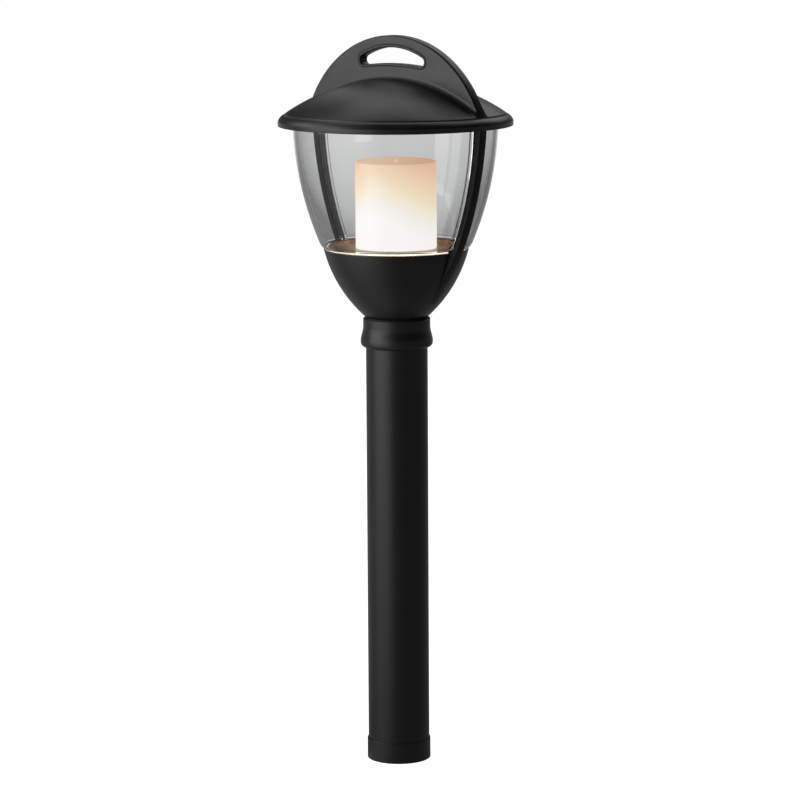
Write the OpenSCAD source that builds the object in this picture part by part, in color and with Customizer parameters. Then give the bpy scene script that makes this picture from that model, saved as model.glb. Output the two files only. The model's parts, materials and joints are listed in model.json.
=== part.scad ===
// Garden post lantern: a black post light with a domed, handled hat, clear panes and a candle-shaped lamp.
// Millimetres. +Z is up, the origin is at the middle of the foot's underside, and the carrying arch and
// the two ribs of the lantern lie in the XZ plane.

/* [Overall] */
// Height from the ground to the top of the carrying arch
overall_h = 535; // [534:1:538]

/* [Foot and post] */
// Outer radius of the post tube
post_r = 22.6; // [22:0.1:23]
// Wall of the post tube
post_wall = 1.6; // [1.2:0.1:2]
// Height of the post tube's top above the ground
post_top_z = 329.8; // [329:0.2:330]
// Height of the ring round the foot
foot_h = 15.2; // [12:0.2:18]
// How far the foot ring stands out from the tube
foot_proud = 0.8; // [0.8:0.1:2]
// Thickness of the foot's floor
foot_floor = 3; // [2.5:0.5:4]
// Radius of the socket for a ground spike
spike_r = 8; // [7:0.5:8.5]
// Depth of the socket for a ground spike
spike_depth = 44; // [30:1:50]
// Circle of the holes that screw the foot to a deck
deck_pcd = 29; // [28.5:0.5:30]
// Radius of those holes
deck_hole_r = 1.8; // [1.5:0.1:2]

/* [Collar] */
// Height of the collar
collar_h = 21.2; // [20:0.2:24]
// Outer radius of the collar's straight band
collar_r = 24.5; // [24.3:0.1:25.5]
// Outer radius of the collar's lower bead
collar_bead_r = 26.4; // [26:0.1:28]

/* [Lantern bowl] */
// Radius of the arc of the bowl's outside
bowl_arc_r = 99.9; // [99.5:0.1:100.2]
// Wall of the bowl
bowl_wall = 2.6; // [2:0.1:2.8]
// Height of the bowl's rim above the ground
bowl_rim_z = 380.8; // [380.6:0.1:381]
// Width of a rib
rib_w = 8; // [6:0.5:10]
// How far a rib stands out from the panes
rib_proud = 5.2; // [4:0.1:5.4]

/* [Panes] */
// Radius of the arc of the panes' outside
pane_arc_r = 244.3; // [244:0.1:244.5]
// Wall of a pane
pane_wall = 3; // [2.6:0.1:3]
// Gap between a pane's end and the rib's web
pane_gap = 0.3; // [0.2:0.1:0.5]

/* [Hat] */
// Outer radius of the hat's rim
rim_r = 85.2; // [85.2:0.1:87]
// Height of the rim's lower edge above the ground
rim_z = 470.2; // [470.2:0.1:470.8]
// Height of the dome's crown above the ground
dome_z = 503.7; // [503.4:0.1:504]
// Radius of the dome's sphere
dome_sphere_r = 142; // [141.6:0.1:142.4]
// Wall of the dome
dome_wall = 2.6; // [2.2:0.1:2.8]

/* [Carrying arch] */
// Outer radius of the arch
arch_r = 85.2; // [84.8:0.1:85.4]
// Thickness of the arch
arch_t = 8.5; // [8:0.5:10]
// Radius of the arch's rounded edges
arch_edge_r = 1.6; // [1:0.1:2.4]
// Radius of the fillet between the arch and the dome
arch_fillet_r = 4; // [2:0.5:5]
// Radius of the hand slot's rounded corners
slot_corner_r = 3.3; // [3:0.1:3.6]

/* [Candle lamp] */
// Outer radius of the candle diffuser
candle_r = 29.5; // [29:0.1:30]
// Height of the candle diffuser
candle_h = 62.8; // [55:0.2:66]
// Wall of the candle diffuser
candle_wall = 2; // [1.6:0.1:2]
// Spacing of the lamp's two pins
pin_pitch = 4; // [3.8:0.1:4.2]
// Radius of a lamp pin
pin_r = 0.35; // [0.32:0.01:0.38]

/* [Hidden] */
$fn = 96;

body_black = "#232624";
rubber_black = "#141414";
clear_grey = [0.80, 0.82, 0.83, 0.35];
wax = "#ffe3c4";
reflector_gold = "#8a6f45";
steel = "#a9abad";
brass_yellow = "#c2a04e";
ceramic_white = "#e9e6de";

eps = 0.01;
fit_gap = 0.1;          // between pieces that slip together once, in assembly
run_gap = 0.3;          // between pieces that move past each other
thread_gap = 0.02;      // between a screw and its hole
chamfer = 0.3;
slot_w = 0.5;           // of the slots in the screws' heads
slot_deep = 0.5;

// Foot
foot_r = post_r + foot_proud;
foot_edge_r = 0.4;
tube_in_r = post_r - post_wall;
plug_r = tube_in_r - fit_gap;
plug_wall = 2.3;
plug_h = 22;
socket_wall = 2.4;
socket_cap = 2;
web_t = 2;
web_angles = [90, 210, 330];
deck_angles = [30, 150, 270];

// Fastenings at the rear
rear_angles = [75, 165];
foot_screw_z = 9;
foot_screw_r = 1.5;
foot_head_r = 2.6;
foot_head_h = 1.2;
collar_screw_r = 2;
collar_screw_z = post_top_z - 3.6;
gland_angle = 120;
gland_z = 58;
gland_hub_r = 5;
gland_flange_r = 6.8;
gland_bore_r = 2.6;
gland_in = tube_in_r - 1.8;
gland_out = post_r + 1.6;

// Collar
collar_z = post_top_z - collar_h;
collar_bore_r = post_r + fit_gap;
collar_edge_r = 3.6;
collar_bead_z = collar_z + 4.4;
collar_band_z = collar_z + 15.4;

// Bowl: its outside and inside are arcs about the same centre
bowl_centre = [-44.1, 405];
bowl_foot_z = post_top_z + 0.7;
bowl_in_r = bowl_arc_r - bowl_wall;
spigot_r = plug_r;
spigot_in_r = 18;
spigot_z = 292;
groove_in_r = 47.7;
groove_out_r = 50.1;
groove_z = 375;
rim_in_r = 45.6;
ledge_z = bowl_rim_z + 0.3;
step_z = 367.2;
post_foot_z = 335;
seal_t = 0.6;

// Panes: their outside and inside are arcs about the same centre
pane_centre = [-169.6, 479.8];
pane_in_r = pane_arc_r - pane_wall;
pane_top_z = 472.8;
pane_foot_z = bowl_rim_z + run_gap;
pane_foot_t = 1.1;
pane_corner = 1.9;
pane_corner_r = 49.8;
pane_curl_z = bowl_rim_z + 3.9;
pane_curl_r = 5;
pane_curl_at = 50.4;
pane_bead_w = 2.8;
pane_bead_t = 1.2;
pane_bead_z = bowl_rim_z + 3.4;
pane_curl_start = -asin((pane_foot_z + pane_curl_r - pane_curl_z) / pane_curl_r);
tongue_r = [47.9, 49.9];
tongue_z = groove_z + 1;
web_half = 1.1;

// Ribs and crown
rib_in_gap = 0.3;
rib_heel = [[53.1, pane_foot_z + 0.4], [55.2, pane_curl_z - 1]];
rib_heel_r = 52.9;
rib_lap = 0.4;          // how far the web reaches into the rib
rib_top_z = rim_z + 0.1;
rib_turn_z = 392;
rib_fade_z = 342;
crown_r = [75, 79.2];
crown_z = [469.6, pane_top_z];
clamp_in_r = 69.8;
clamp_t = 1.4;
clamp_z = pane_top_z + 0.2;
clamp_screw_at = 77.1;
clamp_angles = [45, 135, 225, 315];
m2_r = 1;
m2_head_r = 1.7;
m2_head_h = 1.3;

// Lamp tray and what stands on it
tray_r = 49.4;
tray_wall_r = 45.2;
tray_edge_z = bowl_rim_z + 2.9;
tray_top_z = bowl_rim_z + 0.9;
tray_t = 1.4;
tray_hole_r = 4;
tray_ring_t = 0.8;
tray_ring_h = 2.8;
tray_post_at = 38;
tray_post_r = 3.5;
tray_angles = [90, 210, 330];
m3_r = 1.25;
m3_head_r = 2.6;
m3_pan_r = 2.2;
m3_pan_h = 1.8;

holder_r = 7;
holder_top_z = tray_top_z + 12;
holder_flange_r = 11;
holder_flange_t = 2.5;
holder_screw_at = 8.8;
contact_r = [pin_r + 0.08, 0.93];
contact_len = 8.4;
pin_len = 8;

candle_z = tray_top_z + run_gap;
candle_top_z = candle_z + candle_h;
candle_edge_r = 1.6;
candle_lip = 4;
candle_dish_z = candle_top_z - 1;
wick_r = 0.8;
wick_h = 1.6;

lamp_z = holder_top_z + run_gap;
lamp_base_r = 6;
lamp_base_h = 6;
board_r = 3.6;
board_h = 17;
led = [1.2, 2.8, 2.8];
led_rows = 3;
led_columns = 6;

// Terminal block in the bowl
block = [13.5, 22, 11];
block_at = [26.5, 0, 352];
block_post_r = 3.5;
block_screw_in = 6;
clamp_at = [1.5, 6.5];  // of a clamp, along and across the block
clamp_screw_r = 1.5;
clamp_screw_h = 3;
clamp_well_z = 4;
entry_r = 1.6;
entry_z = 5.5;
clamp_seat_z = 7.5;

// Leads
lead_r = 2.3;
wire_r = 0.7;
neck_plug_z = [294, 299];
socket_z = [82, 110];
socket_r = 7;
socket_body_h = 18;
socket_wall_t = 1.4;
socket_mouth = 10;
socket_pin_at = 2.2;
socket_pin_r = 0.8;
socket_pin_h = 13.9;
lead_route = [
    [19.7, 0, 355.5], [15, 0, 355.5], [10, 0, 354.5], [5.5, 0, 350.5], [2.5, 0, 344], [1, 0, 335],
    [0, 0, 324], [0, 0, 312], [0, 0, 299], [0, 0, 287],
    [1, 0.5, 270], [3, 1.5, 248], [4, 3, 225], [3, 4, 202],
    [1, 3.5, 180], [0, 2, 158], [0, 0.5, 138], [0, 0, 124], [0, 0, 110]
];
wire_route = [
    [0, 2, tray_top_z], [0.5, 2, 378], [2, 2.2, 372.5], [5, 3, 367],
    [9.5, 4, 362.8], [14.5, 5, 360.8], [19.7, 5, 360.5]
];

// Hat
bead_r = 7.7;
bead_centre = [77.85, 471.2];
bead_angles = [18, 68];
rim_edge_r = 0.3;
notch_r = [79.9, 80.3];
notch_z = 477.6;
dome_edge_r = 79.8;
dome_centre_z = dome_z - dome_sphere_r;
dome_edge_z = dome_centre_z + sqrt(dome_sphere_r * dome_sphere_r - dome_edge_r * dome_edge_r);
dome_in_r = dome_sphere_r - dome_wall;
rim_wall = 2.2;
rim_in_z = 474.2;
dome_in_edge_r = 78.4;
seal_r = [crown_r[1] + run_gap, rim_r - rim_wall - run_gap];
seal_z = [470.7, 474];
seal_lip = 0.9;

// Carrying arch
arch_z = overall_h - arch_r;
slot_top_z = overall_h - 8.7;
slot_top_r = 60;
slot_floor_z = overall_h - 20.2;
slot_floor_r = 216;
lip_w = 2.2;
lip_t = 0.2;
arch_screw_at = 60;
arch_screw_r = 1.5;
arch_head_r = 2.8;
arch_head_h = 2.4;
arch_boss_r = 4.2;
arch_boss_z = 484.5;
arch_screw_in = 12;

// Points of an arc about [cx, cy], from angle a0 to a1
function arc(cx, cy, r, a0, a1, n = 16) =
    [for (i = [0 : n]) let (a = a0 + (a1 - a0) * i / n) [cx + r * cos(a), cy + r * sin(a)]];
// The same arc between two heights, on its outer side
function arc_z(c, r, z0, z1, n = 24) = arc(c[0], c[1], r, asin((z0 - c[1]) / r), asin((z1 - c[1]) / r), n);
function arc_radius_at(c, r, z) = c[0] + sqrt(r * r - (z - c[1]) * (z - c[1]));
// Points of a cubic curve with end points p, s and handles q, t
function cubic(p, q, t, s, n = 20) =
    [for (i = [0 : n]) let (u = i / n)
        pow(1 - u, 3) * p + 3 * pow(1 - u, 2) * u * q + 3 * (1 - u) * u * u * t + pow(u, 3) * s];
function reversed(list) = [for (i = [len(list) - 1 : -1 : 0]) list[i]];

// A ring or tube
module ring(r_in, r_out, z0, z1) {
    translate([0, 0, z0])
        difference() {
            cylinder(r = r_out, h = z1 - z0);
            translate([0, 0, -1]) cylinder(r = r_in, h = z1 - z0 + 2);
        }
}

// Children repeated round Z
module around(angles) {
    for (a = angles) rotate([0, 0, a]) children();
}

// Children, drawn along +Z, turned to lie along +X
module along_x() {
    rotate([0, 90, 0]) children();
}

// A slab across the middle, in the plane of the ribs
module rib_slab(half) {
    translate([-rim_r, -half, 0]) cube([2 * rim_r, 2 * half, overall_h]);
}

// A screw standing on its tip, with a flat round head
module pan_screw(shank_r, shank_l, head_r, head_h) {
    cylinder(r = shank_r, h = shank_l + eps, $fn = 32);
    translate([0, 0, shank_l])
        difference() {
            cylinder(r = head_r, h = head_h, $fn = 32);
            translate([-head_r * 0.7, -slot_w / 2, head_h - slot_deep]) cube([head_r * 1.4, slot_w, head_h]);
            translate([-slot_w / 2, -head_r * 0.7, head_h - slot_deep]) cube([slot_w, head_r * 1.4, head_h]);
        }
}

// A flush screw standing on its tip, with its head's top at z = length
module flush_screw(shank_r, length, head_r, head_h) {
    difference() {
        union() {
            cylinder(r = shank_r, h = length - head_h + eps, $fn = 32);
            translate([0, 0, length - head_h]) cylinder(r1 = shank_r, r2 = head_r, h = head_h, $fn = 32);
        }
        translate([-head_r * 0.6, -slot_w / 2, length - slot_deep]) cube([head_r * 1.2, slot_w, 1]);
        translate([-slot_w / 2, -head_r * 0.6, length - slot_deep]) cube([slot_w, head_r * 1.2, 1]);
    }
}

// One round lead of radius r along a list of points, as rings of eight joined up
module lead(points, r, sides = 8) {
    last = len(points) - 1;
    rings = [
        for (i = [0 : last])
            let (ahead = points[min(i + 1, last)] - points[max(i - 1, 0)])
            let (dir = ahead / norm(ahead))
            let (across = cross(dir, [0, 1, 0]))
            let (u = across / norm(across))
            let (v = cross(dir, u))
            for (k = [0 : sides - 1]) points[i] + r * (cos(360 * k / sides) * u + sin(360 * k / sides) * v)
    ];
    sides_faces = [
        for (i = [0 : last - 1])
            for (k = [0 : sides - 1])
                let (n = (k + 1) % sides)
                [i * sides + k, (i + 1) * sides + k, (i + 1) * sides + n, i * sides + n]
    ];
    first_cap = [for (k = [0 : sides - 1]) k];
    last_cap = [for (k = [sides - 1 : -1 : 0]) last * sides + k];
    polyhedron(points = rings, faces = concat(sides_faces, [first_cap, last_cap]), convexity = 6);
}

// ---- Foot and post ----

module foot_cap() {
    color(body_black)
        difference() {
            union() {
                rotate_extrude()
                    polygon(concat(
                        [[0, 0]],
                        arc(foot_r - foot_edge_r, foot_edge_r, foot_edge_r, -90, 0, 6),
                        [[foot_r, foot_h - chamfer], [foot_r - chamfer, foot_h]],
                        [[post_r + fit_gap / 2, foot_h], [post_r + fit_gap / 2, foot_floor]],
                        [[plug_r, foot_floor], [plug_r, plug_h]],
                        [[plug_r - plug_wall, plug_h], [plug_r - plug_wall, foot_floor], [0, foot_floor]]
                    ));
                cylinder(r = spike_r + socket_wall, h = spike_depth + socket_cap);
                around(web_angles)
                    translate([spike_r + 1, -web_t / 2, eps]) cube([plug_r - spike_r - 2, web_t, plug_h - 2]);
            }
            translate([0, 0, -1]) cylinder(r = spike_r, h = spike_depth + 1);
            around(deck_angles)
                translate([deck_pcd / 2, 0, -1]) cylinder(r = deck_hole_r, h = foot_floor + 2, $fn = 48);
            around(rear_angles)
                translate([0, 0, foot_screw_z]) foot_screw_hole();
        }
}

module foot_screw_hole() {
    along_x() translate([0, 0, plug_r - plug_wall - 1])
        cylinder(r = foot_screw_r + thread_gap, h = 8, $fn = 48);
    along_x() translate([0, 0, foot_r - foot_head_h])
        cylinder(r1 = foot_screw_r + thread_gap, r2 = foot_head_r + thread_gap,
            h = foot_head_h + eps, $fn = 48);
}

module foot_screws() {
    length = foot_r - (plug_r - plug_wall);
    color(steel)
        around(rear_angles)
            translate([foot_r - length, 0, foot_screw_z])
                along_x() flush_screw(foot_screw_r, length, foot_head_r, foot_head_h);
}

module post_tube() {
    color(body_black)
        difference() {
            ring(tube_in_r, post_r, foot_floor + 0.05, post_top_z);
            around(rear_angles)
                translate([0, 0, foot_screw_z]) foot_screw_hole();
            around(rear_angles)
                translate([tube_in_r - 2, 0, collar_screw_z])
                    along_x() cylinder(r = collar_screw_r + thread_gap, h = 6, $fn = 48);
            around([gland_angle])
                translate([tube_in_r - 2, 0, gland_z])
                    along_x() cylinder(r = gland_hub_r + thread_gap, h = 6, $fn = 64);
        }
}

// Grommet in the wall of the post, for a supply cable
module cable_gland() {
    color(rubber_black)
        around([gland_angle])
            translate([0, 0, gland_z])
                difference() {
                    union() {
                        along_x() translate([0, 0, gland_in])
                            cylinder(r = gland_hub_r, h = gland_out - gland_in);
                        intersection() {
                            along_x() translate([0, 0, gland_in]) cylinder(r = gland_flange_r, h = 5);
                            cylinder(r = tube_in_r - thread_gap, h = 4 * gland_flange_r, center = true);
                        }
                        difference() {
                            along_x() translate([0, 0, tube_in_r])
                                cylinder(r = gland_flange_r, h = gland_out - tube_in_r);
                            cylinder(r = post_r + thread_gap, h = 4 * gland_flange_r, center = true);
                        }
                    }
                    along_x() translate([0, 0, gland_in - 1]) cylinder(r = gland_bore_r, h = 8, $fn = 64);
                }
}

// ---- Neck ----

// Radius of the collar's outside where it narrows from the bead to the band
function collar_flare(z) =
    let (share = (z - collar_bead_z) / (collar_band_z - collar_bead_z))
    collar_r + (collar_bead_r - collar_r) * (1 + cos(180 * share)) / 2;

module collar() {
    color(body_black)
        difference() {
            rotate_extrude()
                polygon(concat(
                    [[collar_bore_r, collar_z]],
                    arc(collar_bead_r - collar_edge_r, collar_z + collar_edge_r, collar_edge_r, -90, 0, 8),
                    [for (i = [0 : 10])
                        let (z = collar_bead_z + (collar_band_z - collar_bead_z) * i / 10)
                        [collar_flare(z), z]],
                    [[collar_r, post_top_z - chamfer], [collar_r - chamfer, post_top_z]],
                    [[collar_bore_r, post_top_z]]
                ));
            around(rear_angles)
                translate([post_r - 2, 0, collar_screw_z])
                    along_x() cylinder(r = collar_screw_r + thread_gap, h = 6, $fn = 48);
        }
}

// Socket-headed set screws through collar and tube into the spigot
module collar_screws() {
    color(steel)
        around(rear_angles)
            translate([spigot_in_r, 0, collar_screw_z])
                along_x()
                    difference() {
                        cylinder(r = collar_screw_r, h = collar_r - spigot_in_r - 0.2, $fn = 48);
                        translate([0, 0, collar_r - spigot_in_r - 2.2]) cylinder(r = 1.1, h = 3, $fn = 6);
                    }
}

module neck_seal() {
    color(rubber_black) ring(spigot_r + 0.05, post_r - 0.2, post_top_z + 0.05, post_top_z + 0.05 + seal_t);
}

// Plug in the foot of the spigot, which grips the lead
module neck_plug() {
    color(rubber_black) ring(lead_r + 0.05, spigot_in_r - 0.05, neck_plug_z[0], neck_plug_z[1]);
}

// ---- Lantern frame: bowl, ribs and crown in one moulding ----

module bowl() {
    rotate_extrude()
        polygon(concat(
            arc_z(bowl_centre, bowl_arc_r, bowl_foot_z, bowl_rim_z),
            [[groove_out_r, bowl_rim_z], [groove_out_r, groove_z], [groove_in_r, groove_z]],
            [[groove_in_r, ledge_z], [rim_in_r, ledge_z], [rim_in_r, step_z + 1.4]],
            reversed(arc_z(bowl_centre, bowl_in_r, bowl_foot_z + 0.5, step_z)),
            [[spigot_in_r, bowl_foot_z], [spigot_in_r, spigot_z]],
            [[spigot_r, spigot_z], [spigot_r, bowl_foot_z]]
        ));
}

// The bowl as if it were full, to trim what grows from its wall
module bowl_full() {
    rotate_extrude()
        polygon(concat(
            [[0, bowl_foot_z]],
            arc_z(bowl_centre, bowl_arc_r - 0.5, bowl_foot_z, bowl_rim_z),
            [[0, bowl_rim_z]]
        ));
}

// A post from the bowl's wall up to a level, with a blind screw hole
module bowl_post(at, r, top_z, hole_depth) {
    difference() {
        intersection() {
            translate([at, 0, post_foot_z]) cylinder(r = r, h = top_z - post_foot_z, $fn = 48);
            union() {
                bowl_full();
                translate([0, 0, bowl_rim_z - 1]) cylinder(r = groove_in_r, h = 3);
            }
        }
        translate([at, 0, top_z - hole_depth])
            cylinder(r = m3_r + thread_gap, h = hole_depth + 1, $fn = 48);
    }
}

// Outer edge of a rib: along the panes, then a curve that runs out into the bowl
function rib_edge() =
    let (arc_out = pane_arc_r + rib_proud)
    let (turn = [arc_radius_at(pane_centre, arc_out, rib_turn_z), rib_turn_z])
    let (fade = [arc_radius_at(bowl_centre, bowl_arc_r, rib_fade_z), rib_fade_z])
    concat(
        arc_z(pane_centre, arc_out, rib_top_z, rib_turn_z, 20),
        cubic(turn, turn - [5.3, 14], fade + [14.6, 18], fade)
    );

module ribs() {
    intersection() {
        rotate_extrude()
            polygon(concat(
                rib_edge(),
                reversed(arc_z(bowl_centre, bowl_arc_r - 1, bowl_rim_z, rib_fade_z - 2)),
                [[rib_heel_r, bowl_rim_z]], rib_heel,
                arc_z(pane_centre, pane_arc_r + rib_in_gap, pane_curl_z + 1, rib_top_z, 24)
            ));
        rib_slab(rib_w / 2);
    }
    intersection() {
        rotate_extrude()
            polygon(concat(
                [[groove_in_r - rib_lap, groove_z - 1], [groove_out_r + rib_lap, groove_z - 1]],
                [for (p = rib_heel) p + [rib_lap, 0]],
                arc_z(pane_centre, pane_arc_r + rib_in_gap + rib_lap, pane_curl_z + 1, pane_top_z),
                arc_z(pane_centre, pane_in_r, pane_top_z, pane_foot_z + pane_corner),
                [[pane_corner_r, pane_foot_z + pane_foot_t]],
                [[groove_in_r - rib_lap, pane_foot_z + pane_foot_t]]
            ));
        rib_slab(web_half);
    }
}

module lantern_frame() {
    color(body_black)
        difference() {
            union() {
                bowl();
                ribs();
                ring(crown_r[0], crown_r[1], crown_z[0], crown_z[1]);
                around(tray_angles)
                    bowl_post(tray_post_at, tray_post_r, tray_top_z - tray_t - 0.05, 12);
                bowl_post(block_at[0], block_post_r, block_at[2], 8);
            }
            around(clamp_angles)
                translate([clamp_screw_at, 0, crown_z[0] + 0.6])
                    cylinder(r = m2_r + thread_gap, h = 5, $fn = 48);
            around(rear_angles)
                translate([spigot_in_r - 1, 0, collar_screw_z])
                    along_x() cylinder(r = collar_screw_r + thread_gap, h = 6, $fn = 48);
        }
}

// ---- Panes ----

module pane_section() {
    polygon(concat(
        arc_z(pane_centre, pane_arc_r, pane_top_z, pane_curl_z),
        arc(pane_curl_at, pane_foot_z + pane_curl_r, pane_curl_r, pane_curl_start, -90, 8),
        [[tongue_r[1], pane_foot_z], [tongue_r[1], tongue_z], [tongue_r[0], tongue_z]],
        [[tongue_r[0], pane_foot_z + pane_foot_t], [pane_corner_r, pane_foot_z + pane_foot_t]],
        arc_z(pane_centre, pane_in_r, pane_foot_z + pane_corner, pane_top_z)
    ));
}

// The thickening inside a pane along its two ends
module pane_beads() {
    intersection() {
        rotate_extrude()
            polygon(concat(
                arc_z(pane_centre, pane_in_r + eps, pane_top_z, pane_bead_z),
                arc_z(pane_centre, pane_in_r - pane_bead_t, pane_bead_z, pane_top_z)
            ));
        rib_slab(web_half + pane_gap + pane_bead_w);
    }
}

module pane(side) {
    color(clear_grey)
        difference() {
            union() {
                rotate_extrude() pane_section();
                pane_beads();
            }
            rib_slab(web_half + pane_gap);
            translate([-rim_r, side > 0 ? -rim_r : 0, 0]) cube([2 * rim_r, rim_r, overall_h]);
        }
}

module front_pane() {
    pane(-1);
}

module rear_pane() {
    pane(1);
}

module pane_gasket() {
    color(rubber_black)
        difference() {
            ring(groove_in_r + 0.05, groove_out_r - 0.05, groove_z + 0.05, tongue_z - 0.05);
            rib_slab(web_half + pane_gap);
        }
}

module pane_clamp_ring() {
    color(body_black)
        difference() {
            ring(clamp_in_r, crown_r[1], clamp_z, clamp_z + clamp_t);
            around(clamp_angles)
                translate([clamp_screw_at, 0, clamp_z - 1])
                    cylinder(r = m2_r + fit_gap, h = clamp_t + 2, $fn = 48);
        }
}

module clamp_screws() {
    color(steel)
        around(clamp_angles)
            translate([clamp_screw_at, 0, crown_z[0] + 0.8])
                pan_screw(m2_r, clamp_z + clamp_t - crown_z[0] - 0.8, m2_head_r, m2_head_h);
}

// ---- Lamp tray, holder and wiring ----

module lamp_tray() {
    color(reflector_gold)
        difference() {
            union() {
                rotate_extrude()
                    polygon([
                        [tray_hole_r, tray_top_z - tray_t], [tray_wall_r, tray_top_z - tray_t],
                        [tray_wall_r, tray_edge_z - tray_t], [tray_r, tray_edge_z - tray_t],
                        [tray_r, tray_edge_z - chamfer], [tray_r - chamfer, tray_edge_z],
                        [tray_wall_r - tray_t, tray_edge_z], [tray_wall_r - tray_t, tray_top_z],
                        [tray_hole_r, tray_top_z]
                    ]);
                ring(candle_r - candle_wall - run_gap - tray_ring_t, candle_r - candle_wall - run_gap,
                    tray_top_z - eps, tray_top_z + tray_ring_h);
            }
            around(tray_angles)
                translate([tray_post_at, 0, tray_top_z - tray_t - 1]) {
                    cylinder(r = m3_r + thread_gap, h = 4, $fn = 48);
                    translate([0, 0, 1])
                        cylinder(r1 = m3_r + thread_gap, r2 = m3_head_r + thread_gap, h = tray_t + eps);
                }
            around([0, 180])
                translate([0, holder_screw_at, tray_top_z - 3])
                    cylinder(r = m2_r + thread_gap, h = 6, $fn = 48);
        }
}

module tray_screws() {
    length = 12;
    color(steel)
        around(tray_angles)
            translate([tray_post_at, 0, tray_top_z - length]) flush_screw(m3_r, length, m3_head_r, tray_t);
}

module lampholder() {
    color(ceramic_white)
        difference() {
            union() {
                translate([0, 0, tray_top_z]) cylinder(r = holder_flange_r, h = holder_flange_t);
                translate([0, 0, tray_top_z]) cylinder(r = holder_r, h = holder_top_z - tray_top_z);
            }
            around([0, 180])
                translate([0, holder_screw_at, tray_top_z - 1])
                    cylinder(r = m2_r + thread_gap, h = 5, $fn = 48);
            around([0, 180])
                translate([0, pin_pitch / 2, holder_top_z - contact_len])
                    cylinder(r = contact_r[1], h = 10, $fn = 48);
        }
}

// Spring sleeves that grip the lamp's pins
module lampholder_contacts() {
    color(brass_yellow)
        around([0, 180])
            translate([0, pin_pitch / 2, 0])
                ring(contact_r[0], contact_r[1] - thread_gap,
                    holder_top_z - contact_len + 0.05, holder_top_z - fit_gap, $fn = 48);
}

module lampholder_screws() {
    color(steel)
        around([0, 180])
            translate([0, holder_screw_at, tray_top_z - 4])
                pan_screw(m2_r, 4 + holder_flange_t, m2_head_r, m2_head_h);
}

// Children at the terminal block's two clamps, at a height above its foot
module at_clamps(z) {
    for (side = [-1, 1]) translate(block_at + [clamp_at[0], side * clamp_at[1], z]) children();
}

module terminal_block() {
    color(ceramic_white)
        difference() {
            translate(block_at + [-block[0] / 2, -block[1] / 2, 0]) cube(block);
            translate(block_at + [0, 0, -1]) cylinder(r = m3_r + thread_gap, h = block[2] + 2, $fn = 48);
            at_clamps(clamp_well_z) cylinder(r = clamp_screw_r + thread_gap, h = block[2], $fn = 48);
            at_clamps(entry_z) along_x() cylinder(r = entry_r, h = block[0], $fn = 48);
        }
}

module terminal_screws() {
    color(brass_yellow)
        at_clamps(clamp_seat_z)
            difference() {
                cylinder(r = clamp_screw_r, h = clamp_screw_h, $fn = 48);
                translate([-2, -slot_w / 2, clamp_screw_h - slot_deep]) cube([4, slot_w, 1]);
            }
}

module terminal_fixing() {
    color(steel)
        translate(block_at + [0, 0, -block_screw_in])
            pan_screw(m3_r, block_screw_in + block[2], m3_pan_r, m3_pan_h);
}

module holder_leads() {
    color(rubber_black)
        for (side = [1, -1])
            lead([for (p = wire_route) [p[0], side * p[1], p[2]]], wire_r);
}

module inner_lead() {
    color(rubber_black) lead(lead_route, lead_r);
}

// In-line socket on the inner lead, where a supply cable plugs in
module lead_socket() {
    color(rubber_black)
        difference() {
            union() {
                translate([0, 0, socket_z[0]]) cylinder(r = socket_r, h = socket_body_h);
                translate([0, 0, socket_z[0] + socket_body_h])
                    cylinder(r1 = socket_r, r2 = lead_r + 1,
                        h = socket_z[1] - socket_z[0] - socket_body_h - 0.05);
            }
            translate([0, 0, socket_z[0] - 1]) cylinder(r = socket_r - socket_wall_t, h = socket_mouth + 1);
            around([0, 180])
                translate([0, socket_pin_at, socket_z[0]])
                    cylinder(r = socket_pin_r + thread_gap, h = socket_pin_h + 2.1, $fn = 48);
        }
}

module socket_contacts() {
    color(brass_yellow)
        around([0, 180])
            translate([0, socket_pin_at, socket_z[0] + 2])
                cylinder(r = socket_pin_r, h = socket_pin_h, $fn = 48);
}

// ---- Lamp ----

module lamp_base() {
    color(ceramic_white)
        difference() {
            translate([0, 0, lamp_z]) cylinder(r = lamp_base_r, h = lamp_base_h);
            around([0, 180])
                translate([0, pin_pitch / 2, lamp_z - 1]) cylinder(r = pin_r + thread_gap, h = 4, $fn = 32);
        }
}

module lamp_pins() {
    color(steel)
        around([0, 180])
            translate([0, pin_pitch / 2, lamp_z - pin_len])
                cylinder(r = pin_r, h = pin_len + 2.9, $fn = 32);
}

module lamp_board() {
    color(ceramic_white) translate([0, 0, lamp_z + lamp_base_h]) cylinder(r = board_r, h = board_h, $fn = 6);
}

module lamp_emitters() {
    flat_r = board_r * cos(30);
    color(wax) {
        for (column = [0 : led_columns - 1])
            for (row = [0 : led_rows - 1])
                rotate([0, 0, 30 + 360 * column / led_columns])
                    translate([flat_r, -led[1] / 2, lamp_z + lamp_base_h + 2 + row * 5]) cube(led);
        translate([-led[1] / 2, -led[1] / 2, lamp_z + lamp_base_h + board_h]) cube([led[1], led[1], led[0]]);
    }
}

module candle_diffuser() {
    color(wax)
        rotate_extrude()
            polygon(concat(
                [[candle_r, candle_z]],
                arc(candle_r - candle_edge_r, candle_top_z - candle_edge_r, candle_edge_r, 0, 110, 8),
                [[candle_r - candle_lip, candle_dish_z], [wick_r, candle_dish_z]],
                [[wick_r, candle_top_z + wick_h - 0.5], [0, candle_top_z + wick_h]],
                [[0, candle_dish_z - candle_wall], [candle_r - candle_lip, candle_dish_z - candle_wall]],
                [[candle_r - candle_wall, candle_top_z - 6], [candle_r - candle_wall, candle_z]]
            ));
}

// ---- Hat ----

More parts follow.
